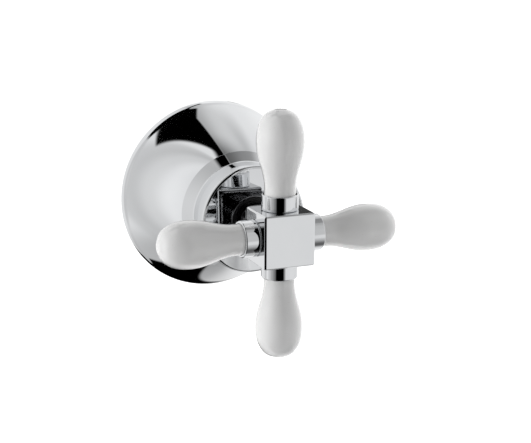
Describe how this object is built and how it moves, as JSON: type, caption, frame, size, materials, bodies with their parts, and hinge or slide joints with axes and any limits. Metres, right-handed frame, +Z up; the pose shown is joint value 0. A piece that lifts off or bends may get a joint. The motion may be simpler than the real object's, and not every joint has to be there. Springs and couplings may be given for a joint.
{
  "type": "concealed stop valve",
  "caption": "Concealed stop valve: brass body with two pipe threads, rising piston, domed chrome escutcheon, collar with a sloping foot and a cross handle with white porcelain levers.",
  "frame": {"origin": "centre of the escutcheon's back rim, on the wall surface", "axes": "-Y along the spindle into the room, +Y into the wall, +Z up along the pipe, +X to the right for someone who faces the valve"},
  "size_m": [0.0836, 0.1063, 0.0836],
  "materials": {
    "chrome": "polished chrome plate on brass",
    "porcelain": "glossy white glaze",
    "brass": "cast and turned, uncoated",
    "steel": "plain stainless steel",
    "rubber": "matt black moulded rubber",
    "fibre": "pressed red-brown sealing fibre",
    "plastic_white": "natural white low-friction plastic",
    "plastic_black": "satin black plastic"
  },
  "bodies": {
    "housing": {"valve_body": "brass", "headwork_gasket": "fibre", "headwork_housing": "brass", "thrust_ring": "plastic_white", "cover_sleeve": "chrome", "escutcheon": "chrome", "escutcheon_seal": "rubber", "wall_gasket": "rubber", "collar": "chrome", "guide_bush": "plastic_black"},
    "handle": {"spindle": "brass", "spindle_seals": "rubber", "spindle_circlip": "steel", "spindle_extension": "brass", "extension_screw": "steel", "hub": "chrome", "hub_grub_screw": "steel", "lever_studs": "steel", "cushion_rings": "rubber", "ferrule_top": "chrome", "ferrule_right": "chrome", "ferrule_bottom": "chrome", "ferrule_left": "chrome", "lever_top": "porcelain", "lever_right": "porcelain", "lever_bottom": "porcelain", "lever_left": "porcelain"},
    "closing_piston": {"piston": "brass", "seat_washer": "rubber", "washer_screw": "steel"}
  },
  "joints": [
    {"name": "handle_turn", "type": "hinge", "parent": "housing", "child": "handle", "pos_m": [0, 0, 0], "axis": [0, -1, 0], "range_deg": [0, 765]},
    {"name": "piston_travel", "type": "slide", "parent": "housing", "child": "closing_piston", "axis": [0, -1, 0], "range_m": [0, 0.0043]}
  ],
  "couplings": [
    {"joint": "piston_travel", "follows": "handle_turn", "m_per_rad": 0.00031831}
  ]
}
